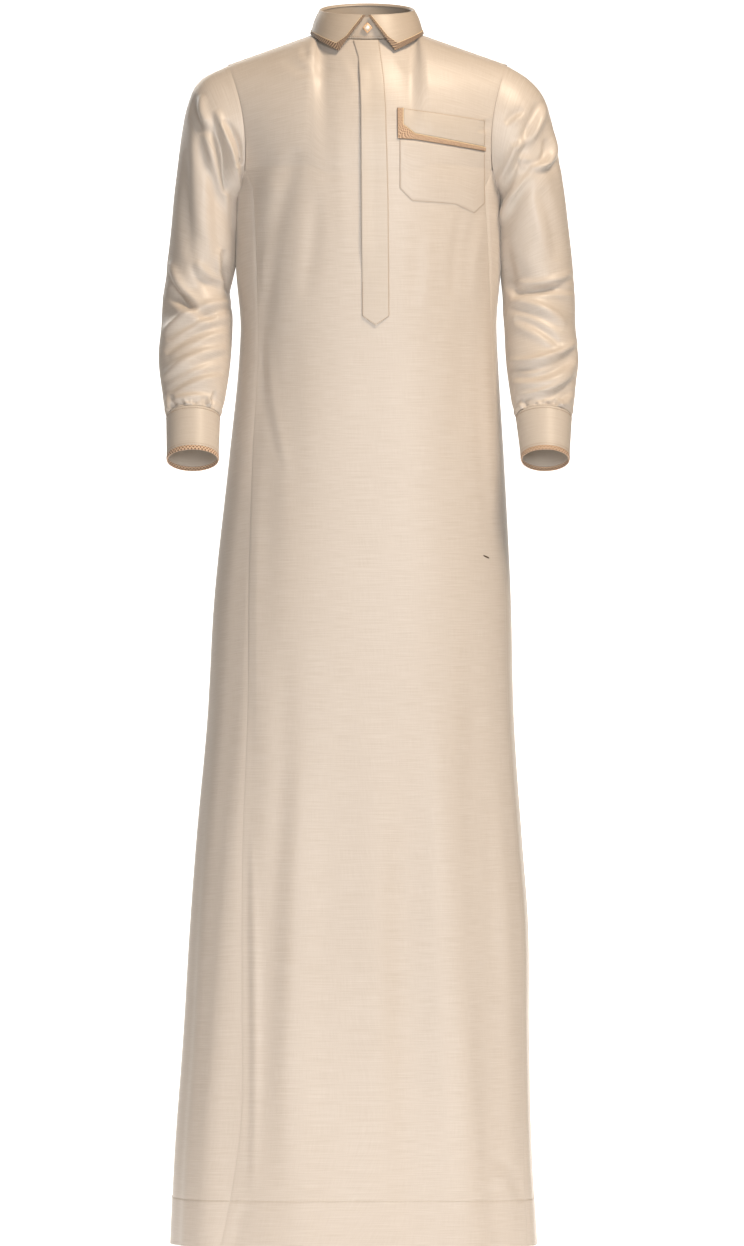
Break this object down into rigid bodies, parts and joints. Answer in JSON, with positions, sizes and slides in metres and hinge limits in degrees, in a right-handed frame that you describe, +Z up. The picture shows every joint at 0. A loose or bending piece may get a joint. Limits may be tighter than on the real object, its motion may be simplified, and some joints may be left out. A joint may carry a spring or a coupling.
{
  "type": "thobe robe",
  "caption": "Ankle-length long-sleeved robe in one plain cloth, with a shirt collar, half placket, chest pocket and woven edging, in its worn shape.",
  "frame": {"origin": "middle of the neck opening, level with the sides of the neckline, where the wearer's neck and shoulders carry the robe", "axes": "+Z up out of the neck, -Y out of the front, +X towards the wearer's left"},
  "size_m": [0.5611, 0.3527, 1.6566],
  "materials": {
    "cloth": "satin",
    "edging": "matte",
    "pearl": "gloss"
  },
  "bodies": {
    "root": {"front_panel": "cloth", "back_panel": "cloth", "side_panel_right": "cloth", "side_panel_left": "cloth", "gusset_right": "cloth", "gusset_left": "cloth", "sleeve_right": "cloth", "sleeve_left": "cloth", "cuff_right": "cloth", "cuff_left": "cloth", "cuff_trim_right": "edging", "cuff_trim_left": "edging", "collar_stand": "cloth", "collar_leaf": "cloth", "collar_trim": "edging", "placket": "cloth", "pocket_flap": "cloth", "chest_pocket": "cloth", "pocket_trim": "edging", "collar_stud": "pearl"}
  },
  "joints": []
}
